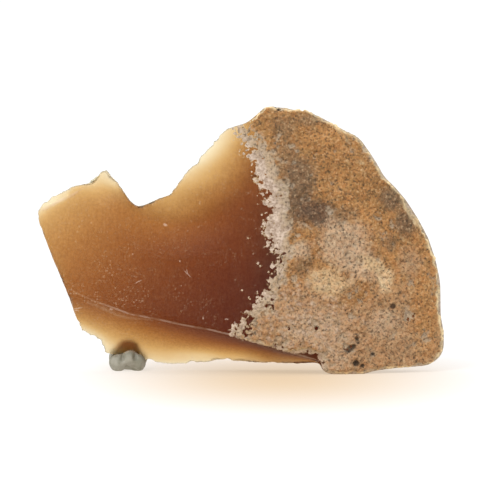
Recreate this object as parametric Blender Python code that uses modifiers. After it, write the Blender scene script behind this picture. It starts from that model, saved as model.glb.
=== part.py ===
"""A flake of translucent brown chert that still carries part of the nodule's rough skin,
propped upright on a pea-sized lump of grey mounting putty.

Frame: metres, +Z up, the broad fracture face towards -Y, the rough skin towards +X.
The underside of the putty and a small worn spot on the stone's lower right lie at z = 0.
"""
import math

import bmesh
import bpy
from mathutils import Matrix, Vector, noise

MM = 0.001

# Driving dimensions, in millimetres
STONE_LENGTH = 61.2
PUTTY_GAP = 0.3

# The photograph's pixels that stand at x = 0 and at z = 0
PHOTO_CENTRE_X = 240.5
PHOTO_GROUND_Y = 373.0

# The flake's outline seen from the front, clockwise from its left corner, in the photograph's pixels
OUTLINE_PX = [
    (38.5, 225), (36, 213), (40.5, 200.5), (49, 197), (60, 193), (70, 187.5), (81, 185.5),
    (90, 183.5), (96, 178.5), (101, 171.5), (106.5, 168.5), (112, 177), (118, 184), (128, 200),
    (136, 208), (143, 206.5), (157, 199.5), (168, 194.5), (175, 188), (182, 174.5), (192, 165),
    (199, 155), (208, 146), (216, 137), (223, 129.5), (236, 126), (246, 123), (255, 116),
    (264, 107.5), (275, 105), (291, 108.5), (308, 110.5), (320, 115.5), (338, 127), (358, 136),
    (368, 151), (377.5, 166), (383, 177), (393.5, 187), (404.5, 200), (417, 219.5),
    (427.5, 239), (435, 261), (440, 285), (440.5, 318), (444, 336), (443, 353), (437, 361.5),
    (425, 367), (396, 368), (372, 370.5), (357, 376), (336, 377), (325, 372), (317, 365), (280, 366),
    (240, 364.5), (219, 363.5), (200, 366.5), (170, 368), (148, 366), (120, 364), (104.5, 358.5),
    (92, 349), (80.5, 335), (73.5, 316), (68, 297), (59, 276), (51, 258), (43.5, 238),
]

# The nodule's rough skin: an egg that the whole flake lies inside, longer towards the left
SKIN_CENTRE = (0.8, 33.6, 7.3)
SKIN_RADII = (53.5, 45.0, 65.4)
SKIN_LEFT_STRETCH = 1.8

# The ventral face, where the flake left its core: a low swelling towards +Y
VENTRAL_CENTRE = (1.2, -60.0, 9.8)
VENTRAL_RADII = (155.0, 60.0, 82.3)

# The broad front fracture: depth y at x = 0, z = 0, and how it falls back to the left and the top
SCAR_DEPTH = -11.9
SCAR_SLOPE_X = -0.15
SCAR_SLOPE_Z = 0.16

# The long facet under the front fracture runs straight from its arris back to the lower edge
ARRIS_LEFT = (-21.1, -7.1, 10.4)
ARRIS_RIGHT = (7.4, -11.0, 3.2)
LOWER_EDGE_LEFT = (-21.1, -1.1, 1.6)
LOWER_EDGE_RIGHT = (7.4, -2.0, 1.0)
FACET_RIGHT_END = 12.0
FACET_HOLLOW = 1.5

# Shallow scars struck from the back: a broad one that thins the top edge, smaller ones down the left.
# Each has the x and z of its middle, its depth there and its three radii
EDGE_SCARS = [
    (-9.8, 36.7, 2.7, (20.7, 14.0, 19.2)),
    (-29.0, 13.0, 1.1, (7.0, 9.0, 14.0)),
    (-24.6, 4.2, 0.9, (9.0, 8.0, 9.0)),
]

# The small facet at the upper left corner, on the front
CORNER_POINT = (-29.9, -3.8, 22.6)
CORNER_NORMAL = (-0.35, -0.85, 0.40)

# The paper-thin step that runs round that corner: the upper end of each stretch of its inner edge
# and which way the stretch runs down, and the outward side of the sheet that is left
STEP_EDGES = [
    ((-25.6, -2.75, 26.2), (-3.9, 0.0, -2.1)),
    ((-29.5, -2.75, 24.1), (-0.6, 0.0, -1.5)),
]
STEP_FRONT = (0.076, -1.0, -0.144)

# The worn foot at the lower right lifts off the ground towards the front
FOOT_FRONT = -9.0
FOOT_RISE = 0.12

# The point the flake was struck from, on the back at its lower edge, with the low bulb that
# swells above it and the ripples that spread from it
STRIKE_POINT = (4.0, 1.5)
BULB_POINT = (4.5, 9.0)
BULB_HEIGHT = 0.7
BULB_RADIUS = 7.0
RIPPLE_HEIGHT = 0.09
RIPPLE_SPACING = 4.4
RIPPLE_PATCH = 14.0

# Surface texture
GRAIN = 0.3
SKIN_DEPTH = 0.8
SKIN_LEFT_END = -2.0
SKIN_LUMP = 0.34
SKIN_LUMP_SIZE = 2.6
SKIN_GRAIN_LUMP = 0.16
SKIN_GRAIN_SIZE = 0.9
FRACTURE_WAVE = 0.10
FRACTURE_WAVE_SIZE = 9.0
SKIN_SMOOTHING_PASSES = 16
SMOOTHING_PASSES = 2
STONE_TRIANGLES = 8600

# The putty: lobes of the lump as (x, y, z, radius)
PUTTY_LOBES = [
    (-18.5, -2.3, 1.1, 1.45),
    (-16.7, -2.8, 1.95, 1.25),
    (-15.15, -2.3, 1.2, 1.35),
    (-18.0, -0.7, 0.7, 2.1),
    (-15.7, -0.6, 0.6, 2.0),
    (-17.6, 1.4, 1.5, 2.45),
    (-15.7, 1.7, 1.4, 2.0),
    (-16.9, 1.2, 2.9, 2.1),
]
PUTTY_GRAIN = 0.28
PUTTY_TRIANGLES = 1000


def clear_scene():
    for old in list(bpy.data.objects):
        bpy.data.objects.remove(old, do_unlink=True)


def collection(name):
    made = bpy.data.collections.new(name)
    bpy.context.scene.collection.children.link(made)
    return made


def material(name, colour, roughness):
    """A plain Principled material."""
    made = bpy.data.materials.new(name)
    made.use_nodes = True
    shader = made.node_tree.nodes["Principled BSDF"]
    shader.inputs["Base Color"].default_value = (*colour, 1.0)
    shader.inputs["Roughness"].default_value = roughness
    shader.inputs["Metallic"].default_value = 0.0
    made.diffuse_color = (*colour, 1.0)
    return made


def as_cutter(cutter):
    """Hides a cutter from the render and keeps it with the other cutters."""
    for holder in list(cutter.users_collection):
        holder.objects.unlink(cutter)
    cutters.objects.link(cutter)
    cutter.hide_render = True
    cutter.display_type = "WIRE"
    return cutter


def boolean(target, cutter, operation):
    cut = target.modifiers.new(cutter.name, "BOOLEAN")
    cut.operation = operation
    cut.solver = "EXACT"
    cut.object = cutter


def ellipsoid(name, centre, radii, segments):
    """A closed ellipsoid from a UV sphere, fine enough that its facets don't show."""
    bpy.ops.mesh.primitive_uv_sphere_add(segments=segments, ring_count=segments // 2, radius=MM)
    made = bpy.context.object
    made.name = name
    made.location = Vector(centre) * MM
    made.scale = radii
    return made


def half_space(name, point, normal):
    """A big box whose one face passes through the point and looks along the reversed normal."""
    size = 150 * MM
    bpy.ops.mesh.primitive_cube_add(size=size)
    made = bpy.context.object
    made.name = name
    outwards = Vector(normal).normalized()
    made.rotation_euler = outwards.to_track_quat("Z", "Y").to_euler()
    made.location = Vector(point) * MM + outwards * size / 2
    return made


def step_cut(name, end, along, front):
    """A big box with one edge along a step from its end: it clears what lies in front and beyond."""
    size = 60 * MM
    run = Vector(along).normalized()
    forwards = Vector(front).normalized()
    outwards = run.cross(forwards)
    bpy.ops.mesh.primitive_cube_add(size=size)
    made = bpy.context.object
    made.name = name
    made.rotation_euler = Matrix((outwards, run, forwards)).transposed().to_euler()
    made.location = Vector(end) * MM + (outwards + run + forwards) * size / 2
    return made


def mesh_of(source, name):
    """A new object holding the evaluated mesh of another, which is then removed."""
    bpy.context.view_layer.update()
    graph = bpy.context.evaluated_depsgraph_get()
    mesh = bpy.data.meshes.new_from_object(source.evaluated_get(graph))
    mesh.transform(source.matrix_world)
    form = bmesh.new()
    form.from_mesh(mesh)
    bmesh.ops.remove_doubles(form, verts=form.verts, dist=0.00001)
    form.to_mesh(mesh)
    form.free()
    made = bpy.data.objects.new(name, mesh)
    bpy.data.objects.remove(source, do_unlink=True)
    return made


def outline_blank():
    """The flake's outline as a thick plate standing on its edge."""
    shape = bpy.data.curves.new("outline", "CURVE")
    shape.dimensions = "2D"
    shape.fill_mode = "BOTH"
    shape.extrude = 30 * MM
    spline = shape.splines.new("POLY")
    spline.points.add(len(OUTLINE_PX) - 1)
    columns = [across for across, _ in OUTLINE_PX]
    mm_per_pixel = STONE_LENGTH / (max(columns) - min(columns))
    for point, (across, down) in zip(spline.points, OUTLINE_PX):
        x = (across - PHOTO_CENTRE_X) * mm_per_pixel * MM
        z = (PHOTO_GROUND_Y - down) * mm_per_pixel * MM
        point.co = (x, z, 0.0, 1.0)
    spline.use_cyclic_u = True
    plate = bpy.data.objects.new("outline", shape)
    plate.rotation_euler = (math.pi / 2, 0.0, 0.0)
    bpy.context.scene.collection.objects.link(plate)
    blank = mesh_of(plate, "chert_blank")
    bpy.context.scene.collection.objects.link(blank)
    return blank


def lower_facet():
    """The long facet: a thick sheet ruled from the arris to the lower edge, twisting on its way."""
    arris = (Vector(ARRIS_LEFT) * MM, Vector(ARRIS_RIGHT) * MM)
    edge = (Vector(LOWER_EDGE_LEFT) * MM, Vector(LOWER_EDGE_RIGHT) * MM)
    left_end = -0.6
    right_end = (FACET_RIGHT_END - ARRIS_LEFT[0]) / (ARRIS_RIGHT[0] - ARRIS_LEFT[0])
    front_end = -0.9
    back_end = 2.5
    form = bmesh.new()
    bmesh.ops.create_grid(form, x_segments=48, y_segments=24, size=0.5)
    for vert in form.verts:
        along = left_end + (vert.co.x + 0.5) * (right_end - left_end)
        across = front_end + (vert.co.y + 0.5) * (back_end - front_end)
        vert.co = arris[0].lerp(arris[1], along).lerp(edge[0].lerp(edge[1], along), across)
        if 0.0 < across < 1.0:
            vert.co.y += FACET_HOLLOW * 4 * across * (1.0 - across) * MM
    mesh = bpy.data.meshes.new("lower_facet")
    form.to_mesh(mesh)
    form.free()
    sheet = bpy.data.objects.new("lower_facet", mesh)
    bpy.context.scene.collection.objects.link(sheet)
    thick = sheet.modifiers.new("thickness", "SOLIDIFY")
    thick.thickness = 14 * MM
    thick.offset = -1.0
    return sheet


def ventral_depth(x, z):
    """The ventral face's y at an x and z, in millimetres."""
    across = (x - VENTRAL_CENTRE[0]) / VENTRAL_RADII[0]
    up = (z - VENTRAL_CENTRE[2]) / VENTRAL_RADII[2]
    return VENTRAL_CENTRE[1] + VENTRAL_RADII[1] * math.sqrt(1.0 - across ** 2 - up ** 2)


def depth_under_skin(point):
    """Roughly how far a point lies under the nodule's skin, in millimetres."""
    offset = (point / MM) - Vector(SKIN_CENTRE)
    if offset.x < 0.0:
        offset.x /= SKIN_LEFT_STRETCH
    scaled = Vector(part / radius for part, radius in zip(offset, SKIN_RADII))
    depth = (1.0 - scaled.length) * SKIN_RADII[1]
    beyond_the_left_end = max(SKIN_LEFT_END - point.x / MM, 0.0)
    return depth + beyond_the_left_end


def strike_marks(place):
    """How far the bulb and the ripples stand out of the ventral face, in millimetres."""
    from_bulb = math.hypot(place.x - BULB_POINT[0], place.z - BULB_POINT[1])
    bulb = BULB_HEIGHT * math.exp(-(from_bulb / BULB_RADIUS) ** 2)
    from_strike = math.hypot(place.x - STRIKE_POINT[0], place.z - STRIKE_POINT[1])
    beyond_bulb = min(max((from_strike - 9.0) / 6.0, 0.0), 1.0)
    wander = noise.noise(place / RIPPLE_PATCH)
    turns = from_strike / RIPPLE_SPACING + 0.6 * wander
    strength = RIPPLE_HEIGHT * beyond_bulb * (0.55 + 0.9 * wander)
    return bulb + strength * math.sin(2 * math.pi * turns)


def roughen(form):
    """Lumps and pits on the skin, slow waves on the fracture faces, strike marks on the back."""
    form.normal_update()
    moves = {}
    for vert in form.verts:
        place = vert.co / MM
        skin = 1.0 - min(max(depth_under_skin(vert.co) / SKIN_DEPTH, 0.0), 1.0)
        lumps = noise.fractal(place / SKIN_LUMP_SIZE, 0.9, 2.0, 3) * SKIN_LUMP
        grains = noise.noise(place / SKIN_GRAIN_SIZE) * SKIN_GRAIN_LUMP
        waves = noise.noise(place / FRACTURE_WAVE_SIZE) * FRACTURE_WAVE
        facing_back = min(max((vert.normal.y - 0.8) / 0.15, 0.0), 1.0) * (1.0 - skin)
        marks = strike_marks(place) * facing_back
        moves[vert] = vert.normal * (skin * (lumps + grains) + waves + marks) * MM
    for vert, move in moves.items():
        vert.co += move


def smooth_skin_rim(form):
    """The skin curls round to the ventral face instead of meeting it at a sharp wall."""
    for _ in range(SMOOTHING_PASSES):
        smooth(form, form.verts)
    for _ in range(SKIN_SMOOTHING_PASSES):
        smooth(form, [v for v in form.verts if v.co.x > 4 * MM and depth_under_skin(v.co) < 2.5])


def smooth(form, verts):
    bmesh.ops.smooth_vert(form, verts=verts, factor=0.5, use_axis_x=True, use_axis_y=True,
                          use_axis_z=True)


def thin_to(target, triangles):
    """Collapses small faces until about this many triangles are left."""
    count = sum(len(face.vertices) - 2 for face in target.data.polygons)
    thin = target.modifiers.new("thin", "DECIMATE")
    thin.ratio = min(1.0, triangles / count)
    thin.use_collapse_triangulate = True


def knapped_stone():
    """The blank struck down to the flake: skin, ventral face, front fracture and edge scars."""
    blank = outline_blank()
    skin = ellipsoid("skin", SKIN_CENTRE, SKIN_RADII, 128)
    for vert in skin.data.vertices:
        if vert.co.x < 0.0:
            vert.co.x *= SKIN_LEFT_STRETCH
    boolean(blank, as_cutter(skin), "INTERSECT")
    boolean(blank, as_cutter(ellipsoid("ventral", VENTRAL_CENTRE, VENTRAL_RADII, 192)), "INTERSECT")
    scar_normal = (SCAR_SLOPE_X, -1.0, SCAR_SLOPE_Z)
    scar = half_space("front_fracture", (0.0, SCAR_DEPTH, 0.0), scar_normal)
    boolean(blank, as_cutter(scar), "DIFFERENCE")
    boolean(blank, as_cutter(lower_facet()), "DIFFERENCE")
    corner = half_space("corner_facet", CORNER_POINT, CORNER_NORMAL)
    boolean(blank, as_cutter(corner), "DIFFERENCE")
    foot = half_space("foot", (0.0, FOOT_FRONT, 0.0), (0.0, -FOOT_RISE, -1.0))
    boolean(blank, as_cutter(foot), "DIFFERENCE")
    for index, (end, along) in enumerate(STEP_EDGES):
        step = step_cut(f"step_{index + 1}", end, along, STEP_FRONT)
        boolean(blank, as_cutter(step), "DIFFERENCE")
    for index, (x, z, depth, radii) in enumerate(EDGE_SCARS):
        centre = (x, ventral_depth(x, z) + radii[1] - depth, z)
        scar = ellipsoid(f"edge_scar_{index + 1}", centre, radii, 48)
        boolean(blank, as_cutter(scar), "DIFFERENCE")
    grain = blank.modifiers.new("grain", "REMESH")
    grain.mode = "VOXEL"
    grain.voxel_size = GRAIN * MM
    stone = mesh_of(blank, "chert")
    form = bmesh.new()
    form.from_mesh(stone.data)
    smooth_skin_rim(form)
    roughen(form)
    form.to_mesh(stone.data)
    form.free()
    return stone


def putty_lump(stone):
    """Soft lobes pressed together round the flake's lower edge, flattened underneath."""
    lobes = []
    for x, y, z, radius in PUTTY_LOBES:
        bpy.ops.mesh.primitive_uv_sphere_add(segments=32, ring_count=16, radius=radius * MM,
                                             location=(x * MM, y * MM, z * MM))
        lobes.append(bpy.context.object)
    first = lobes[0]
    for lobe in lobes[1:]:
        boolean(first, as_cutter(lobe), "UNION")
    soften = first.modifiers.new("soften", "REMESH")
    soften.mode = "VOXEL"
    soften.voxel_size = PUTTY_GRAIN * MM
    relax = first.modifiers.new("relax", "SMOOTH")
    relax.iterations = 9
    relax.factor = 0.5
    lump = mesh_of(first, "mounting_putty")
    pressed = bpy.data.objects.new("stone_in_putty", stone.data.copy())
    grow = pressed.modifiers.new("gap", "DISPLACE")
    grow.strength = PUTTY_GAP * 1.5 * MM
    grow.mid_level = 0.0
    tidy = pressed.modifiers.new("tidy", "REMESH")
    tidy.mode = "VOXEL"
    tidy.voxel_size = GRAIN * MM
    as_cutter(pressed)
    return lump, pressed


def centre_on_origin(pieces):
    """Hangs everything on one empty and moves it so that the pieces' box is centred in x and y."""
    bpy.context.view_layer.update()
    graph = bpy.context.evaluated_depsgraph_get()
    corners = [Vector(corner) for piece in pieces for corner in piece.evaluated_get(graph).bound_box]
    frame = bpy.data.objects.new("frame", None)
    bpy.context.scene.collection.objects.link(frame)
    for held in list(parts.objects) + list(cutters.objects):
        held.parent = frame
    for axis in (0, 1):
        reach = [corner[axis] for corner in corners]
        frame.location[axis] = -(min(reach) + max(reach)) / 2


clear_scene()
parts = collection("chert_flake")
cutters = collection("cutters")

flint_brown = material("chert_brown", (0.27, 0.13, 0.05), 0.35)
putty_grey = material("putty_grey", (0.30, 0.29, 0.25), 0.75)

stone = knapped_stone()
parts.objects.link(stone)
lump, pressed = putty_lump(stone)
parts.objects.link(lump)

floor = as_cutter(half_space("floor", (0.0, 0.0, 0.0), (0.0, 0.0, -1.0)))
thin_to(stone, STONE_TRIANGLES)
boolean(stone, floor, "DIFFERENCE")
boolean(lump, pressed, "DIFFERENCE")
thin_to(lump, PUTTY_TRIANGLES)
boolean(lump, floor, "DIFFERENCE")

for piece, look in ((stone, flint_brown), (lump, putty_grey)):
    piece.data.materials.clear()
    piece.data.materials.append(look)

centre_on_origin([stone, lump])
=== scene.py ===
import math

import bpy
import numpy as np
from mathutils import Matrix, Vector, noise
from mathutils.bvhtree import BVHTree


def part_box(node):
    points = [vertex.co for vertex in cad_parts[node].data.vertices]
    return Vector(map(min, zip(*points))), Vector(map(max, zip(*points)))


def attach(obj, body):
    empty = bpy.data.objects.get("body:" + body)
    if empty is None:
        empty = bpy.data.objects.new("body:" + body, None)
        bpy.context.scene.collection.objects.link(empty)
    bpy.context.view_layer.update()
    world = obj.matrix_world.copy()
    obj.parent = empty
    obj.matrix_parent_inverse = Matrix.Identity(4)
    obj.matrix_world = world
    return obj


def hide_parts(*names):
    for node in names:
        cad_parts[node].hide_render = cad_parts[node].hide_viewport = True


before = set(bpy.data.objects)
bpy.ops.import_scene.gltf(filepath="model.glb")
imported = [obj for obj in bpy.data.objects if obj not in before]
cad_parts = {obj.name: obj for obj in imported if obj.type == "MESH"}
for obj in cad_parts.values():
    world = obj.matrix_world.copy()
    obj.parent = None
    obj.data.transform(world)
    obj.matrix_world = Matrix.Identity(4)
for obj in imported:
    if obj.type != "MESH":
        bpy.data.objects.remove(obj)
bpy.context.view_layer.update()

# View
# The stone is photographed almost level with it through a long lens, filling four fifths of the
# picture's width. The picture is 500 pixels wide and the stone's scale is 0.15 mm a pixel.
MM = 0.001
PICTURE_WIDTH = 75 * MM
CAMERA_DISTANCE = 1.2
CAMERA_ELEVATION = math.radians(4.0)
PICTURE_CENTRE = Vector((1.4 * MM, 0.0, 18.3 * MM))
SENSOR_WIDTH = 36.0

bpy.ops.object.select_all(action="DESELECT")
toward_camera = Vector((0.0, -math.cos(CAMERA_ELEVATION), math.sin(CAMERA_ELEVATION)))
bpy.ops.object.camera_add(location=PICTURE_CENTRE + toward_camera * CAMERA_DISTANCE,
                          rotation=(math.pi / 2 - CAMERA_ELEVATION, 0.0, 0.0))
camera = bpy.context.object
camera.name = "camera"
camera.data.sensor_width = SENSOR_WIDTH
camera.data.lens = SENSOR_WIDTH * CAMERA_DISTANCE / PICTURE_WIDTH
camera.data.clip_end = 50.0
bpy.context.scene.camera = camera

# Chert flake
# One flake struck from a nodule: see-through brown chert with the nodule's sandy skin on its right.
# It broke in smooth scars with thin, chipped edges. The sizes are in millimetres, and x and z are
# its own places seen from the front.
GRAIN_STEP = 0.31
MERGE_DISTANCE = 0.001
# The egg-shaped outside of the nodule, and where the stone's own front lay before it was centred
SKIN_CENTRE = Vector((0.8, 33.6, 7.3))
SKIN_RADII = Vector((53.5, 45.0, 65.4))
SKIN_LEFT_STRETCH = 1.8
SKIN_LEFT_END = -2.0
FRONT_OF_STONE = -11.72
SKIN_GRAIN_REACH = 0.55
SKIN_GRAIN_FADE = 0.35
# The depth under the skin at which the stone breaks clean
CLEAN_DEPTH = 0.9
# How deep the chalky band under the skin goes at several heights, and where it widens to the back
BAND_HEIGHTS = (0.0, 6.0, 8.0, 12.0, 14.0, 16.0, 19.0, 22.0, 27.0, 30.0, 32.0, 34.0, 36.0, 38.0)
BAND_DEPTHS = (0.95, 0.62, 0.52, 0.60, 0.62, 0.74, 0.82, 0.92, 0.90, 0.80, 0.76, 0.62, 0.55, 0.50)
BAND_STARTS_TO_WIDEN = -1.0
BAND_WIDENS_TO_THE_BACK = 0.9
# The arris between the two fracture faces, the short one beside it, and the chip at the left end
ARRIS = ((-25.0, 12.2), (-22.0, 10.9), (-18.1, 9.5), (-16.5, 8.9), (-12.4, 8.2), (-8.4, 7.4),
         (-4.6, 6.8), (0.6, 5.6), (2.9, 5.2), (5.1, 4.4), (7.4, 3.4), (11.6, 2.0))
SECOND_ARRIS = ((-23.0, 10.7), (-20.6, 9.7), (-18.6, 8.7), (-17.2, 8.3), (-15.6, 8.2), (-13.6, 8.1))
CHIP_EDGE = ((-29.6, 24.4), (-28.2, 25.1), (-26.9, 25.8), (-25.9, 26.2), (-24.6, 27.0))
# Shallow scoops in the front: x and z of the middle, half the width and height, and depth
SCOOPS = ((-20.8, 28.6, 4.6, 4.2, 0.9), (-4.5, 2.6, 9.0, 2.2, 0.8), (2.5, 2.8, 5.5, 2.6, 1.2),
          (9.0, 2.0, 5.0, 2.4, 1.9), (-29.6, 26.0, 3.2, 1.6, 0.7), (-9.5, 22.6, 9.5, 5.5, 1.3))
SCOOP_SHARE_OF_THICKNESS = 0.5
# Thin edges are nibbled where the stone is thinner than this, by chips of two sizes and reaches
NIBBLED_UNDER = 1.6
NIBBLED_MOST_UNDER = 0.7
CHIPS = ((1.3, 0.55), (0.5, 0.22))
# Pits where grains fell out of the skin: x and z of the middle, half the width and height, and turn
PITS = ((22.8, 10.1, 0.42, 0.42, 0), (16.4, 3.9, 1.00, 0.40, -30), (17.4, 5.4, 0.20, 0.22, 0),
        (17.6, 4.7, 0.20, 0.18, 0), (17.3, 1.7, 0.60, 0.42, 0), (19.8, 3.0, 0.30, 0.25, 0),
        (18.2, 1.3, 0.30, 0.25, 0))
PIT_DEPTH = 0.5
PIT_SLOPE = 0.25
# Points that face further sideways than this have no front or back to measure through
LEAST_FACING = 0.1
JUST_INSIDE = 0.02
# The skin's relief: its kind, size and height, and the share of it that goes inwards
SKIN_RELIEF = (("CLOUDS", 1.4, 0.80), ("CLOUDS", 0.5, 0.50), ("VORONOI", 0.8, 0.18))
RELIEF_INWARDS = 0.6


def deselect_all():
    if bpy.context.object and bpy.context.object.mode != "OBJECT":
        bpy.ops.object.mode_set(mode="OBJECT")
    bpy.ops.object.select_all(action="DESELECT")


def make_active(piece):
    deselect_all()
    piece.select_set(True)
    bpy.context.view_layer.objects.active = piece


def copy_of_node(name, piece_name):
    """A piece of its own with a CAD node's mesh, its loose triangles merged."""
    piece = bpy.data.objects.new(piece_name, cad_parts[name].data.copy())
    bpy.context.scene.collection.objects.link(piece)
    piece.data.materials.clear()
    make_active(piece)
    bpy.ops.object.mode_set(mode="EDIT")
    bpy.ops.mesh.select_all(action="SELECT")
    bpy.ops.mesh.remove_doubles(threshold=MERGE_DISTANCE * MM)
    bpy.ops.object.mode_set(mode="OBJECT")
    return piece


def apply(piece, kind, **settings):
    """Adds one modifier with its settings and applies it."""
    modifier = piece.modifiers.new(kind.lower(), kind)
    for name, value in settings.items():
        setattr(modifier, name, value)
    make_active(piece)
    bpy.ops.object.modifier_apply(modifier=modifier.name)


def rise(values, low, high):
    """0 at low, 1 at high and straight in between."""
    return np.clip((values - low) / (high - low), 0.0, 1.0)


def places(piece):
    """The piece's points as an array, in millimetres."""
    found = np.empty(len(piece.data.vertices) * 3)
    piece.data.vertices.foreach_get("co", found)
    return found.reshape(-1, 3) / MM


def directions(piece):
    """Which way the surface faces at each of the piece's points."""
    found = np.empty(len(piece.data.vertices) * 3)
    piece.data.vertices.foreach_get("normal", found)
    return found.reshape(-1, 3)


def put(piece, points):
    """Moves the piece's points to these places, in millimetres."""
    piece.data.vertices.foreach_set("co", (points * MM).ravel())
    piece.data.update()


def keep_in_box(piece, name):
    """Holds the piece's points inside the box of the solid that it stands for."""
    low, high = (np.array(corner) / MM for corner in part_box(name))
    put(piece, np.clip(places(piece), low, high))


def weight_points(piece, name, weights):
    """A vertex group from an array of weights."""
    group = piece.vertex_groups.new(name=name)
    for index in np.nonzero(weights > 0.0)[0]:
        group.add([int(index)], float(weights[index]), "REPLACE")


def give_points(piece, name, values):
    """A named value on each of the piece's points, for the material to read."""
    attribute = piece.data.attributes.new(name, "FLOAT", "POINT")
    attribute.data.foreach_set("value", values.astype(np.float32))


def shade_smooth(piece):
    for polygon in piece.data.polygons:
        polygon.use_smooth = True


flake = copy_of_node("chert", "chert_flake")
# The solid was modelled about the nodule and then centred: this is how far it moved
moved = Vector((0.0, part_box("chert")[0].y / MM - FRONT_OF_STONE, 0.0))
skin_centre = SKIN_CENTRE + moved


def depth_under_skin(points):
    """How far each point lies under the nodule's egg-shaped outside."""
    offset = points - np.array(skin_centre)
    offset[:, 0] = np.where(offset[:, 0] < 0.0, offset[:, 0] / SKIN_LEFT_STRETCH, offset[:, 0])
    outwards = np.linalg.norm(offset / np.array(SKIN_RADII), axis=1)
    beyond_left_end = np.maximum(SKIN_LEFT_END - points[:, 0], 0.0)
    return (1.0 - outwards) * SKIN_RADII.y + beyond_left_end


def through(piece):
    """How thick the stone is behind each point of its front or back, zero round its edge."""
    piece.data.update()
    surface = BVHTree.FromPolygons([point.co for point in piece.data.vertices],
                                   [tuple(face.vertices) for face in piece.data.polygons])
    thickness = np.zeros(len(piece.data.vertices))
    for index, point in enumerate(piece.data.vertices):
        if abs(point.normal.y) > LEAST_FACING:
            inwards = Vector((0.0, math.copysign(1.0, -point.normal.y), 0.0))
            hit = surface.ray_cast(point.co + inwards * JUST_INSIDE * MM, inwards)
            thickness[index] = hit[3] / MM if hit[0] else 0.0
    return thickness


def ridges(piece):
    """How sharply each point stands out from its neighbours: high along worn edges."""
    points = places(piece)
    edges = np.empty(len(piece.data.edges) * 2, dtype=np.int64)
    piece.data.edges.foreach_get("vertices", edges)
    edges = edges.reshape(-1, 2)
    pull = np.zeros_like(points)
    count = np.zeros(len(points))
    for near, far in ((edges[:, 0], edges[:, 1]), (edges[:, 1], edges[:, 0])):
        np.add.at(pull, near, points[far] - points[near])
        np.add.at(count, near, 1.0)
    pull /= np.maximum(count, 1.0)[:, None]
    return -(pull * directions(piece)).sum(axis=1) / GRAIN_STEP


def beside(points, line):
    """How far each point lies above a line seen from the front, negative below it."""
    here = points[:, [0, 2]]
    nearest = np.full(len(here), 1e9)
    side = np.ones(len(here))
    for start, end in zip(line, line[1:]):
        start, run = np.array(start), np.array(end) - np.array(start)
        along = np.clip((here - start) @ run / (run @ run), 0.0, 1.0)
        away = here - start - along[:, None] * run
        reach = np.linalg.norm(away, axis=1)
        closer = reach < nearest
        nearest = np.where(closer, reach, nearest)
        side = np.where(closer, np.sign(run[0] * away[:, 1] - run[1] * away[:, 0]), side)
    return nearest * side


apply(flake, "REMESH", mode="VOXEL", voxel_size=GRAIN_STEP * MM)

# The scoops go back into the stone from its front, never through it
points = places(flake)
deep = np.zeros(len(points))
for x, z, across, up, depth in SCOOPS:
    reach = ((points[:, 0] - x) / across) ** 2 + ((points[:, 2] - z) / up) ** 2
    deep += depth * rise(reach, 1.0, 0.0) ** 2
deep[directions(flake)[:, 1] > -LEAST_FACING] = 0.0
points[:, 1] += np.minimum(deep, through(flake) * SCOOP_SHARE_OF_THICKNESS)
put(flake, points)

# The fracture faces are smooth
depth = depth_under_skin(places(flake))
weight_points(flake, "fracture", rise(depth, CLEAN_DEPTH, CLEAN_DEPTH + 0.8))
apply(flake, "SMOOTH", factor=0.5, iterations=3, vertex_group="fracture")
flake.vertex_groups.clear()

# Thin edges of the clean stone are nibbled by small chips
points = places(flake)
outwards = directions(flake) * (1.0, 0.0, 1.0)
thin_edge = rise(through(flake), NIBBLED_UNDER, NIBBLED_MOST_UNDER)
thin_edge *= rise(depth, CLEAN_DEPTH, CLEAN_DEPTH + 0.6)
for index in np.nonzero(thin_edge * np.linalg.norm(outwards, axis=1) > 0.2)[0]:
    for size, reach in CHIPS:
        bite = max(noise.noise(Vector(points[index] / size)), -0.1) + 0.1
        points[index] -= outwards[index] * thin_edge[index] * bite * reach
put(flake, points)

# The skin's faces are cut in four so that they can carry the sand grain
make_active(flake)
is_skin = depth_under_skin(places(flake)) < SKIN_GRAIN_REACH
for polygon in flake.data.polygons:
    polygon.select = all(is_skin[corner] for corner in polygon.vertices)
bpy.ops.object.mode_set(mode="EDIT")
bpy.ops.mesh.subdivide(number_cuts=1)
bpy.ops.mesh.select_all(action="SELECT")
bpy.ops.mesh.quads_convert_to_tris()
bpy.ops.object.mode_set(mode="OBJECT")

points = places(flake)
depth = depth_under_skin(points)
facing = -directions(flake)[:, 1]
give_points(flake, "facing", facing)
for x, z, across, up, turn in PITS:
    reach = np.hypot((points[:, 0] - x) / (across + PIT_SLOPE), (points[:, 2] - z) / (up + PIT_SLOPE))
    points[:, 1] += PIT_DEPTH * rise(reach, 1.0, 0.0) * (facing > 0.3)
put(flake, points)
weight_points(flake, "skin", rise(depth, SKIN_GRAIN_REACH, SKIN_GRAIN_REACH - SKIN_GRAIN_FADE))
for kind, size, height in SKIN_RELIEF:
    relief = bpy.data.textures.new("skin relief", kind)
    relief.noise_scale = size * MM
    apply(flake, "DISPLACE", texture=relief, texture_coords="LOCAL", strength=height * MM,
          mid_level=RELIEF_INWARDS, vertex_group="skin")
flake.vertex_groups.clear()
keep_in_box(flake, "chert")
shade_smooth(flake)

# What the material needs to know about each point of the stone
points = places(flake)
depth = depth_under_skin(points)
band = np.interp(points[:, 2], BAND_HEIGHTS, BAND_DEPTHS)
band += np.maximum(points[:, 1] - BAND_STARTS_TO_WIDEN, 0.0) * BAND_WIDENS_TO_THE_BACK
give_points(flake, "under_skin", depth)
give_points(flake, "under_band", depth - band)
give_points(flake, "ridge", ridges(flake))
give_points(flake, "thickness", through(flake))
give_points(flake, "from_arris", beside(points, ARRIS))
give_points(flake, "from_second", beside(points, SECOND_ARRIS))
give_points(flake, "from_chip", beside(points, CHIP_EDGE))

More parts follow.
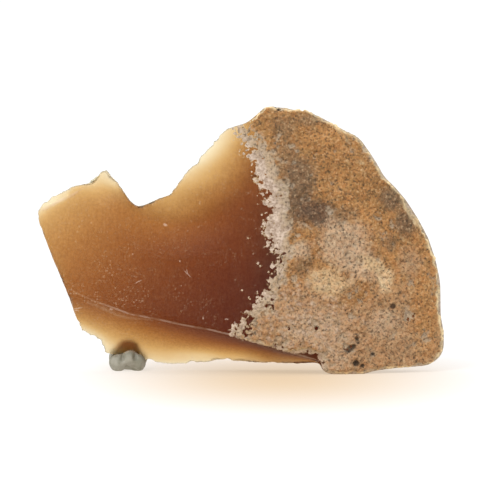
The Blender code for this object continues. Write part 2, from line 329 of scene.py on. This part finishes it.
# The chert is see-through, brown where thick and honey yellow where thin, with a satin fracture
# under a faint haze. The skin is matt opaque sand, rusty, grey and chalky in patches, and where it
# was cut across, a frothy whitish fringe runs into the brown stone.
STONE_INDEX = 1.25
SAND_ROUGHNESS = 0.92
CLEAN_ROUGHNESS = 0.57
LIGHT_LET_THROUGH = (0.74, 0.525, 0.27, 1.0)
LIGHT_TAKEN_PER_METRE = 800.0
GRAIN_SIZE = 0.30
GRAIN_BUMP = 0.06
SMOOTH = {"interpolation_type": "SMOOTHSTEP"}
COLOURS = {"data_type": "RGBA", "out": 2}
WHITE = (1.0, 1.0, 1.0, 1.0)


def linear(code):
    """An sRGB hex colour as linear red, green, blue and alpha."""
    parts = [int(code[i:i + 2], 16) / 255 for i in (0, 2, 4)]
    return (*(p / 12.92 if p <= 0.04045 else ((p + 0.055) / 1.055) ** 2.4 for p in parts), 1.0)


def new_material(name):
    made = bpy.data.materials.new(name)
    made.use_nodes = True
    made.node_tree.nodes.clear()
    return made


def node(kind, sockets=(), out=0, **settings):
    """Adds one node with its settings, fills its sockets and returns one of its outputs."""
    made = tree.nodes.new("ShaderNode" + kind)
    for name, value in settings.items():
        setattr(made, name, value)
    for name, value in sockets.items() if isinstance(sockets, dict) else enumerate(sockets):
        if isinstance(value, bpy.types.NodeSocket):
            tree.links.new(value, made.inputs[name])
        else:
            made.inputs[name].default_value = value
    return made.outputs[out] if len(made.outputs) else made


def place_in_mm():
    """Each point's place on its own piece, in millimetres."""
    position = node("TexCoord", out="Object")
    return node("VectorMath", {0: position, "Scale": 1 / MM}, operation="SCALE")


def clouds(size, low, high, detail=3.0, roughness=0.5):
    """Soft-edged patches, the largest this many millimetres across: 0 outside and 1 inside."""
    pattern = node("TexNoise", {"Vector": place, "Scale": 1 / size, "Detail": detail,
                                "Roughness": roughness})
    return node("MapRange", (pattern, low, high), **SMOOTH)


def dots(size, edge, core):
    """Round dots this many millimetres apart: 1 inside the core, 0 past the edge, parts of the size."""
    pattern = node("TexVoronoi", {"Vector": place, "Scale": 1 / size})
    return node("MapRange", (pattern, edge, core), **SMOOTH)


def swayed(value, pattern, reach, middle=0.5):
    """A value moved up and down by a pattern, so that what follows it wanders."""
    swing = node("Math", (pattern, middle), operation="SUBTRACT")
    return node("Math", (swing, reach, value), operation="MULTIPLY_ADD")


def line_at(distance, edge, core, strength=1.0):
    """1 on a line and 0 past its edge, from the distance to the line in millimetres."""
    away = node("Math", (distance,), operation="ABSOLUTE")
    return node("MapRange", (away, edge, core, 0.0, strength), **SMOOTH)


def spot(x, z, across, up, turn=0.0, ragged=0.0, soft=0.3, strength=1.0):
    """1 inside an ellipse seen from the front, centred at x and z, in millimetres."""
    within = node("Mapping", {"Vector": place, "Location": (x, 0.0, z),
                              "Rotation": (0.0, math.radians(turn), 0.0),
                              "Scale": (across, 1000.0, up)}, vector_type="TEXTURE")
    reach = node("VectorMath", (within,), out="Value", operation="LENGTH")
    if ragged:
        reach = swayed(reach, raggedness, ragged)
    return node("MapRange", (reach, 1.0 + soft, 1.0 - soft, 0.0, strength), **SMOOTH)


stone = new_material("chert and nodule skin")
tree = stone.node_tree
place = place_in_mm()
to_right, to_back, upwards = (node("SeparateXYZ", (place,), out=axis) for axis in "XYZ")
under_skin, under_band, ridge, facing, thickness, from_arris, from_second, from_chip = (
    node("Attribute", out="Fac", attribute_name=name)
    for name in ("under_skin", "under_band", "ridge", "facing", "thickness", "from_arris",
                 "from_second", "from_chip"))
on_front = node("MapRange", (facing, 0.0, 0.3), **SMOOTH)
raggedness = node("TexNoise", {"Vector": place, "Scale": 1 / 1.6, "Detail": 4.0, "Roughness": 0.65})
fine = node("TexNoise", {"Vector": place, "Scale": 1 / 0.38, "Detail": 4.0, "Roughness": 0.8})

# The fringe: round frothy blobs in lobes, with a few loose ones in the clear stone
FRINGE = (("TexNoise", 2.2, 2.0, 0.50, 1.10), ("TexVoronoi", 0.75, 0.0, 0.40, 0.55),
          ("TexVoronoi", 0.38, 0.0, 0.40, 0.30), ("TexNoise", 0.35, 3.0, 0.50, 0.55))
LOOSE_BUBBLES = ((2.3, 29.0, 0.42), (3.4, 23.1, 0.16), (1.1, 20.4, 0.13), (0.2, 12.7, 0.16),
                 (1.4, 11.4, 0.13), (1.9, 10.6, 0.12))
past_fringe = under_band
for kind, size, detail, middle, reach in FRINGE:
    pattern = node(kind, {"Vector": place, "Scale": 1 / size, "Detail": detail})
    past_fringe = swayed(past_fringe, pattern, reach, middle)
clear = node("MapRange", (past_fringe, -0.03, 0.07), **SMOOTH)
for x, z, size in LOOSE_BUBBLES:
    bubble = spot(x, z, size, size, ragged=0.9)
    clear = node("Math", (bubble, -0.85, clear), operation="MULTIPLY_ADD")
clear = node("Math", (clear, 0.0), operation="MAXIMUM")

# The skin's patches: colour, x and z of the middle, half the width and height, and turn
OCHRE = linear("9f7549")
RUSTY = linear("8f683f")
UMBER = linear("7d6043")
GREY_BROWN = linear("6c5540")
DARK_BROWN = linear("574336")
TAWNY = linear("9e7e5f")
BEIGE = linear("a99077")
CHALKY = linear("b39a78")
PALE_CHALK = linear("c4ac8a")
PATCHES = (
    (UMBER, 6.5, 37.0, 1.8, 1.4, 0), (UMBER, 10.4, 37.9, 2.2, 0.9, 0), (UMBER, 7.0, 31.3, 2.0, 4.6, 0),
    (GREY_BROWN, 8.9, 29.0, 2.4, 3.4, 0), (GREY_BROWN, 8.0, 25.3, 1.9, 3.4, 0),
    (DARK_BROWN, 11.6, 24.0, 3.4, 2.0, 20), (GREY_BROWN, 22.8, 26.1, 2.0, 1.8, 0),
    (GREY_BROWN, 24.6, 22.5, 1.8, 2.0, 0), (UMBER, 22.5, 19.5, 0.9, 1.3, 0),
    (BEIGE, 15.3, 20.4, 3.6, 3.0, 20), (BEIGE, 17.1, 17.0, 4.0, 2.4, 25),
    (CHALKY, 12.6, 14.0, 2.5, 2.2, 0), (CHALKY, 14.2, 13.3, 2.3, 1.4, 0),
    (PALE_CHALK, 21.7, 14.1, 1.0, 1.8, 0), (CHALKY, 19.8, 16.4, 2.0, 1.0, 25),
    (RUSTY, 17.3, 11.8, 2.4, 1.3, -15), (UMBER, 9.3, 16.8, 1.5, 1.5, 0),
    (TAWNY, 8.9, 9.9, 3.6, 2.6, 0), (BEIGE, 11.6, 6.9, 5.2, 2.7, 15), (BEIGE, 21.6, 7.4, 2.6, 2.0, 0),
    (TAWNY, 17.9, 3.3, 3.4, 2.1, 0), (BEIGE, 13.4, 2.3, 3.2, 1.8, 0), (TAWNY, 23.9, 3.8, 3.0, 3.4, 0),
    (OCHRE, 27.8, 11.0, 2.4, 8.0, 0), (BEIGE, 8.9, 18.8, 1.5, 1.3, 0), (TAWNY, 25.4, 16.4, 1.7, 2.4, 0),
    (UMBER, 15.6, 24.1, 2.0, 0.9, 0), (OCHRE, 13.5, 35.7, 2.8, 1.3, 0),
)
skin_colour = node("Mix", {0: clouds(4.0, 0.40, 0.62, 4.0, 0.65), 6: RUSTY, 7: OCHRE}, **COLOURS)
skin_colour = node("Mix", {0: clouds(2.4, 0.58, 0.70, 4.0, 0.7), 6: skin_colour, 7: UMBER}, **COLOURS)
lower_half = node("MapRange", (swayed(upwards, raggedness, 8.0), 17.0, 10.0, 0.0, 0.75), **SMOOTH)
skin_colour = node("Mix", {0: lower_half, 6: skin_colour, 7: TAWNY}, **COLOURS)
for colour, x, z, across, up, turn in PATCHES:
    patch = spot(x, z, across, up, turn, ragged=1.4, soft=0.5, strength=0.92)
    skin_colour = node("Mix", {0: patch, 6: skin_colour, 7: colour}, **COLOURS)

# Sand: every grain has its own shade, from dark iron through the skin's colour to clear, and a
# slight tint. Round the rim, where the skin turns away from the front, the grains are painted pale
# yellow: a painted glow.
IRON_GRAIN = linear("463c31")
CLEAR_GRAIN = linear("dcc09a")
PAINTED_RIM_GLOW = linear("f4dcae")
WARM_TINT = (1.05, 0.98, 0.93, 1.0)
COOL_TINT = (0.95, 1.01, 1.04, 1.0)
SKIN_BRIGHTNESS = (1.21, 1.17, 1.12, 1.0)
grain = node("TexVoronoi", {"Vector": place, "Scale": 1 / GRAIN_SIZE}, out="Color")
grain = node("SeparateColor", (grain,))
shade = node("Math", (grain, 0.90, -1.68), operation="MULTIPLY_ADD")
shade = node("Math", (fine, 4.4, shade), operation="MULTIPLY_ADD")
shade = node("Math", (shade, 0.0), operation="MAXIMUM")
tint = node("Mix", {0: clouds(0.7, 0.38, 0.62, 3.0, 0.7), 6: WARM_TINT, 7: COOL_TINT}, **COLOURS)
for factor in (SKIN_BRIGHTNESS, tint):
    skin_colour = node("Mix", {0: 1.0, 6: skin_colour, 7: factor}, blend_type="MULTIPLY", **COLOURS)
sand = node("Mix", {0: shade, 6: IRON_GRAIN, 7: skin_colour}, **COLOURS)
is_clear = node("MapRange", (shade, 1.1, 2.4, 0.0, 0.55), **SMOOTH)
sand = node("Mix", {0: is_clear, 6: sand, 7: CLEAR_GRAIN}, **COLOURS)
# Painted glow: the skin is paled where it turns away from the front
painted_rim_glow = node("MapRange", (facing, 0.88, 0.35, 0.0, 0.85), **SMOOTH)
sand = node("Mix", {0: painted_rim_glow, 6: sand, 7: PAINTED_RIM_GLOW}, **COLOURS)

# The froth is mottled, and chalk like it clings to the sand beside its lower half
FROTH_SHADOW = linear("7d6554")
FROTH_GREY = linear("a48f7e")
FROTH_WHITE = linear("cbb8a7")
CHALKY_GRAIN = linear("b3a189")
froth_colour = node("Mix", {0: clouds(0.6, 0.35, 0.65), 6: FROTH_GREY, 7: FROTH_WHITE}, **COLOURS)
in_froth_shadow = node("MapRange", (fine, 0.50, 0.40, 0.0, 0.7), **SMOOTH)
froth_colour = node("Mix", {0: in_froth_shadow, 6: froth_colour, 7: FROTH_SHADOW}, **COLOURS)
chalk = spot(8.5, 7.0, 7.5, 6.5, ragged=2.0, soft=0.6, strength=0.5)
chalk = node("Math", (chalk, clouds(1.0, 0.47, 0.60, 4.0, 0.7)), operation="MULTIPLY")
sand = node("Mix", {0: chalk, 6: sand, 7: froth_colour}, **COLOURS)
chalky_sand = node("Mix", {0: shade, 6: IRON_GRAIN, 7: CHALKY_GRAIN}, **COLOURS)
into_band = swayed(under_skin, raggedness, -0.5)
chalky = node("MapRange", (into_band, 0.05, 0.35, 0.0, 0.8), **SMOOTH)
frothy = node("MapRange", (into_band, 0.34, 0.62), **SMOOTH)
opaque = node("Mix", {0: chalky, 6: sand, 7: chalky_sand}, **COLOURS)
opaque = node("Mix", {0: frothy, 6: opaque, 7: froth_colour}, **COLOURS)
# The pits are painted near black: painted shade in the hollows
PAINTED_PIT_SHADE = linear("2c211b")
for x, z, across, up, turn in PITS:
    painted_pit_shade = spot(x, z, across, up, turn, ragged=1.8, soft=0.35, strength=0.85)
    opaque = node("Mix", {0: painted_pit_shade, 6: opaque, 7: PAINTED_PIT_SHADE}, **COLOURS)

# Pale specks, dust and nicks on the clear stone: x and z of the nick's middle, half its length and
# width, and turn
NICKS = (
    (-7.9, 15.0, 0.75, 0.05, 42), (-8.0, 15.4, 0.35, 0.05, 75), (-15.3, 13.8, 0.55, 0.07, -25),
    (-2.1, 8.4, 0.30, 0.10, 0), (-11.3, 22.2, 0.30, 0.20, 30), (-9.1, 16.9, 0.12, 0.12, 0),
    (-24.4, 9.6, 0.70, 0.10, -15), (-24.7, 9.2, 0.45, 0.07, -10), (-19.4, 9.6, 0.25, 0.12, 0),
    (-5.6, 8.5, 0.10, 0.22, 0), (0.3, 5.2, 0.15, 0.15, 0), (-0.9, 7.9, 0.10, 0.20, 0),
)
specks = node("Math", (dots(0.85, 0.22, 0.11), clouds(4.0, 0.42, 0.60)), operation="MULTIPLY")
bright = node("Math", (raggedness, 2.0, -0.62), operation="MULTIPLY_ADD")
specks = node("Math", (specks, bright), operation="MULTIPLY")
dust = node("Math", (dots(0.43, 0.36, 0.16), clouds(3.0, 0.38, 0.66)), operation="MULTIPLY")
dusty_corner = spot(-19.0, 12.0, 9.0, 5.0, soft=0.8)
dusty = node("Math", (dusty_corner, 0.30, 0.38), operation="MULTIPLY_ADD")
dust = node("Math", (dust, dusty), operation="MULTIPLY")
marks = node("Math", (specks, dust), operation="MAXIMUM")
for x, z, across, up, turn in NICKS:
    nick = spot(x, z, across, up, turn, ragged=0.8, soft=0.4)
    nick = node("Math", (nick, on_front), operation="MULTIPLY")
    marks = node("Math", (marks, nick), operation="MAXIMUM")

# Pale lines along the arrises and the chip's edge, here and there broken, and worn sharp edges, all
# partly crushed stone and partly a painted highlight
broken = node("MapRange", (raggedness, 0.34, 0.50), **SMOOTH)
less_at_left = node("MapRange", (to_right, -23.5, -17.0, 0.3, 1.0), **SMOOTH)
arris_line_and_highlight = node("Math", (line_at(from_arris, 0.22, 0.06), less_at_left), operation="MULTIPLY")
pale_lines_and_highlights = node("Math", (line_at(from_second, 0.34, 0.02, 0.35), line_at(from_chip, 0.30, 0.08, 0.5)),
             operation="MAXIMUM")
pale_lines_and_highlights = node("Math", (pale_lines_and_highlights, arris_line_and_highlight), operation="MAXIMUM")
pale_lines_and_highlights = node("Math", (pale_lines_and_highlights, on_front), operation="MULTIPLY")
strength = node("Math", (broken, 0.65, 0.35), operation="MULTIPLY_ADD")
pale_lines_and_highlights = node("Math", (pale_lines_and_highlights, strength), operation="MULTIPLY")
# Sharp edges are paled: partly real wear, partly a painted highlight
worn_and_highlit_edges = node("MapRange", (ridge, 0.16, 0.34), **SMOOTH)
worn_and_highlit_edges = node("Math", (worn_and_highlit_edges, broken), operation="MULTIPLY")

# The haze takes a little of the light that would go through, most of it at the marks
haze = node("Math", (fine, 3.0), operation="POWER")
more_at_left = node("MapRange", (to_right, -2.0, -24.0, 0.10, 0.22), **SMOOTH)
haze = node("Math", (haze, more_at_left, -0.008), operation="MULTIPLY_ADD")
haze = node("Math", (haze, 0.0), operation="MAXIMUM")
between_arrises = spot(-18.6, 9.0, 3.6, 0.55, 20, ragged=0.7, soft=0.6)
between_arrises = node("Math", (between_arrises, on_front), operation="MULTIPLY")
for mark, milkiness in ((worn_and_highlit_edges, 0.14), (marks, 0.26), (pale_lines_and_highlights, 0.20), (between_arrises, 0.035)):
    haze = node("Math", (mark, milkiness, haze), operation="MULTIPLY_ADD")

# Behind the skin no light comes through, and the back shows its own clouded brown
wandering = node("TexNoise", {"Vector": place, "Scale": 1 / 7.0, "Detail": 4.0})
behind_skin = node("MapRange", (swayed(to_right, wandering, 14.0), -2.0, 9.0), **SMOOTH)
on_back = node("MapRange", (facing, 0.0, -0.3), **SMOOTH)
behind_skin = node("Math", (behind_skin, on_back), operation="MULTIPLY")
clouding = node("TexNoise", {"Vector": place, "Scale": 1 / 3.5, "Detail": 5.0, "Roughness": 0.6})
back_haze = node("Math", (clouding, 0.34, 0.04), operation="MULTIPLY_ADD")
haze = node("Math", (behind_skin, back_haze, haze), operation="MULTIPLY_ADD")

# Honey yellow in the clear stone, with a painted paler glow where it is thin for light coming through
# it, clouded in faint upright streaks where it is thick
HONEY = (0.98, 0.77, 0.38, 1.0)
PAINTED_THIN_GLOW = (0.98, 0.88, 0.62, 1.0)
CLOUDED = (0.66, 0.62, 0.58, 1.0)
CHIP_SHADOW = (0.55, 0.35, 0.20, 1.0)
PALE_MARK_AND_HIGHLIGHT = linear("f2dfce")
BACK_BROWN = linear("8c5433")
BACK_TAN = linear("b37c50")
# Where the stone is thin its colour is painted paler: a painted glow of light coming through
painted_thin_glow = node("MapRange", (thickness, 1.9, 0.2), **SMOOTH)
honey = node("Mix", {0: painted_thin_glow, 6: HONEY, 7: PAINTED_THIN_GLOW}, **COLOURS)
upright = node("Mapping", {"Vector": place, "Scale": (0.32, 0.32, 4.0)}, vector_type="TEXTURE")
streaks = node("TexNoise", {"Vector": upright, "Scale": 1.0, "Detail": 3.0})
streaks = node("Math", (streaks, 0.25), operation="MULTIPLY")
cloudy = node("TexNoise", {"Vector": place, "Scale": 1 / 0.42, "Detail": 4.0, "Roughness": 0.8})
cloudy = node("Math", (cloudy, 0.75, streaks), operation="MULTIPLY_ADD")
cloudy = node("MapRange", (cloudy, 0.64, 0.36), **SMOOTH)
for value, none, full in ((thickness, 0.5, 3.0), (to_back, 2.5, 1.5)):
    where = node("MapRange", (value, none, full), **SMOOTH)
    cloudy = node("Math", (cloudy, where), operation="MULTIPLY")
cloudy = node("Mix", {0: cloudy, 6: WHITE, 7: CLOUDED}, **COLOURS)
honey = node("Mix", {0: 1.0, 6: honey, 7: cloudy}, blend_type="MULTIPLY", **COLOURS)
# A painted shadow line just below the chip's edge
painted_chip_shadow = node("Math", (from_chip, 0.12), operation="ADD")
painted_chip_shadow = node("Math", (line_at(painted_chip_shadow, 0.32, 0.05, 0.45), on_front), operation="MULTIPLY")
honey = node("Mix", {0: painted_chip_shadow, 6: honey, 7: CHIP_SHADOW}, **COLOURS)
# Nicks, specks and dust are pale for real; the arris lines and sharp edges are partly a painted
# highlight
pale_marks_and_highlights = marks
for mark in (worn_and_highlit_edges, pale_lines_and_highlights):
    pale_marks_and_highlights = node("Math", (pale_marks_and_highlights, mark), operation="MAXIMUM")
clear_colour = node("Mix", {0: pale_marks_and_highlights, 6: honey, 7: PALE_MARK_AND_HIGHLIGHT}, **COLOURS)
is_tan = node("MapRange", (clouding, 0.38, 0.62), **SMOOTH)
back_colour = node("Mix", {0: is_tan, 6: BACK_BROWN, 7: BACK_TAN}, **COLOURS)
behind_skin = node("Math", (behind_skin, 0.85), operation="MULTIPLY")
clear_colour = node("Mix", {0: behind_skin, 6: clear_colour, 7: back_colour}, **COLOURS)

grit = node("TexNoise", {"Vector": place, "Scale": 1 / 0.5, "Detail": 3.0})
grit = node("Math", (grit, grain), operation="ADD")
not_clear = node("Math", (1.0, clear), operation="SUBTRACT")
grit = node("Math", (grit, not_clear), operation="MULTIPLY")
bump = node("Bump", {"Height": grit, "Distance": GRAIN_BUMP * MM, "Strength": 0.7})
unhazed = node("Math", (1.0, haze), operation="SUBTRACT")
lets_through = node("Math", (clear, unhazed), operation="MULTIPLY")
roughness = node("Math", (clear, CLEAN_ROUGHNESS - SAND_ROUGHNESS, SAND_ROUGHNESS),
                 operation="MULTIPLY_ADD")
colour = node("Mix", {0: clear, 6: opaque, 7: clear_colour}, **COLOURS)
shader = node("BsdfPrincipled", {"Base Color": colour, "IOR": STONE_INDEX, "Roughness": roughness,
                                 "Transmission Weight": lets_through, "Normal": bump})
absorption = node("VolumeAbsorption", {"Color": LIGHT_LET_THROUGH, "Density": LIGHT_TAKEN_PER_METRE})
node("OutputMaterial", {"Surface": shader, "Volume": absorption})

flake.data.materials.append(stone)
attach(flake, "root")
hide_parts("chert")

# Mounting putty
# A pinch of grey reusable putty, rolled and pressed by hand round the flake's lower edge. Fingers
# left two rolls and a small one pressed on in front, rounded in at the paper.
PUTTY_STEP = 0.16
LEFT_ROLL = -18.5
RIGHT_ROLL = -15.4
CLEFT = -17.0
CLEFT_WIDTH = 0.45
CLEFT_HEIGHT = 1.2
# Grooves pressed in from the front: x, and between which heights
GROOVES = ((-17.75, 1.4, 4.0), (-15.85, 1.6, 4.0), (-17.0, -1.0, 1.3))
GROOVE_WIDTH = 0.26
GROOVE_DEPTH = 0.8
PUTTY_DARK = linear("858272")
PUTTY_PALE = linear("9c988a")
# The top of the putty has painted warm light, for the light that comes through the stone
PUTTY_PAINTED_WARM_LIGHT = linear("c3a98a")

putty = copy_of_node("mounting_putty", "putty_lump")
apply(putty, "REMESH", mode="VOXEL", voxel_size=PUTTY_STEP * MM)
apply(putty, "SMOOTH", factor=0.5, iterations=3)
points = places(putty)
low = rise(points[:, 2], 1.7, 0.0) ** 2
roll = np.where(points[:, 0] < CLEFT, LEFT_ROLL, RIGHT_ROLL)
points[:, 0] += (roll - points[:, 0]) * 0.38 * low
cleft = np.exp(-((points[:, 0] - CLEFT) / CLEFT_WIDTH) ** 2)
points[:, 2] = np.maximum(points[:, 2], CLEFT_HEIGHT * cleft)
middle = points[:, 1].mean()
in_front = rise(points[:, 1], middle - 0.8, middle - 2.0)
for groove, low_end, high_end in GROOVES:
    between = rise(points[:, 2], low_end, low_end + 0.5) * rise(points[:, 2], high_end, high_end - 0.5)
    pressed = np.exp(-((points[:, 0] - groove) / GROOVE_WIDTH) ** 2)
    points[:, 1] += GROOVE_DEPTH * pressed * in_front * between
points[:, 0] -= 0.4 * rise(points[:, 0], RIGHT_ROLL, RIGHT_ROLL + 1.2)
put(putty, points)
apply(putty, "SMOOTH", factor=0.5, iterations=1)
keep_in_box(putty, "mounting_putty")
shade_smooth(putty)

# Reusable putty is a dull rubbery clay with fine creases
putty_look = new_material("reusable putty")
tree = putty_look.node_tree
place = place_in_mm()
putty_colour = node("Mix", {0: clouds(1.2, 0.35, 0.65), 6: PUTTY_DARK, 7: PUTTY_PALE}, **COLOURS)
# Painted warm light on the putty's top, next to the stone
painted_warm_light = node("MapRange", (node("SeparateXYZ", (place,), out="Z"), 2.6, 4.0), **SMOOTH)
putty_colour = node("Mix", {0: painted_warm_light, 6: putty_colour, 7: PUTTY_PAINTED_WARM_LIGHT}, **COLOURS)
creases = node("TexNoise", {"Vector": place, "Scale": 1 / 0.5, "Detail": 4.0, "Distortion": 1.0})
bump = node("Bump", {"Height": creases, "Distance": 0.08 * MM, "Strength": 0.6})
shader = node("BsdfPrincipled", {"Base Color": putty_colour, "Roughness": 0.7, "Normal": bump})
node("OutputMaterial", {"Surface": shader})
putty.data.materials.append(putty_look)
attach(putty, "root")
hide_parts("mounting_putty")

# Studio
# A white paper sweep under a bright white tent, with one soft key light from the upper left. In
# front of the stone a painted warm shadow tints the paper's colour, for the shade of the stone and the
# light that has come through it.
PAPER_SIZE = 16.0
# Where the painted warm shadow lies on the paper, how far it reaches, and its tint
PAINTED_SHADOW_PLACE = (6.0, -14.0, 0.0)
PAINTED_SHADOW_REACH = (40.0, 84.0, 1.0)
PAINTED_SHADOW_TINT = (0.80, 0.62, 0.43, 1.0)
PAPER_SHARE_LIT = (0.30, 0.30, 0.30, 1.0)
PAPER_OWN_LIGHT = 0.76
KEY_PLACE = Vector((-0.55, -0.80, 0.95))
KEY_AIM = Vector((0.0, 0.0, 0.02))
KEY_SIZE = 0.5
KEY_WATTS = 8.0

deselect_all()
bpy.ops.mesh.primitive_plane_add(size=PAPER_SIZE, location=(0.0, 0.0, 0.0))
paper = bpy.context.object
paper.name = "paper"
paper_look = new_material("white paper")
tree = paper_look.node_tree
# Painted warm shadow: the paper's colour and its own light are tinted darker and warm near the stone
painted_warm_shadow = node("Mapping", {"Vector": place_in_mm(), "Location": PAINTED_SHADOW_PLACE, "Scale": PAINTED_SHADOW_REACH},
            vector_type="TEXTURE")
painted_warm_shadow = node("VectorMath", (painted_warm_shadow,), out="Value", operation="LENGTH")
painted_warm_shadow = node("MapRange", (painted_warm_shadow, 1.0, 0.0), **SMOOTH)
paper_colour = node("Mix", {0: painted_warm_shadow, 6: WHITE, 7: PAINTED_SHADOW_TINT}, **COLOURS)
lit_colour = node("Mix", {0: 1.0, 6: paper_colour, 7: PAPER_SHARE_LIT}, blend_type="MULTIPLY", **COLOURS)
shader = node("BsdfPrincipled", {"Base Color": lit_colour, "Roughness": 1.0, "Specular IOR Level": 0.0,
                                 "Emission Color": paper_colour, "Emission Strength": PAPER_OWN_LIGHT})
node("OutputMaterial", {"Surface": shader})
paper.data.materials.append(paper_look)

bpy.ops.object.light_add(type="AREA", location=KEY_PLACE)
key = bpy.context.object
key.name = "key_light"
key.data.size = KEY_SIZE
key.data.energy = KEY_WATTS
key.rotation_euler = (KEY_AIM - KEY_PLACE).to_track_quat("-Z", "Y").to_euler()

tent = bpy.data.worlds.new("white tent")
tent.use_nodes = True
tent.node_tree.nodes["Background"].inputs["Color"].default_value = WHITE
tent.node_tree.nodes["Background"].inputs["Strength"].default_value = 1.0
bpy.context.scene.world = tent
bpy.context.scene.view_settings.view_transform = "Standard"
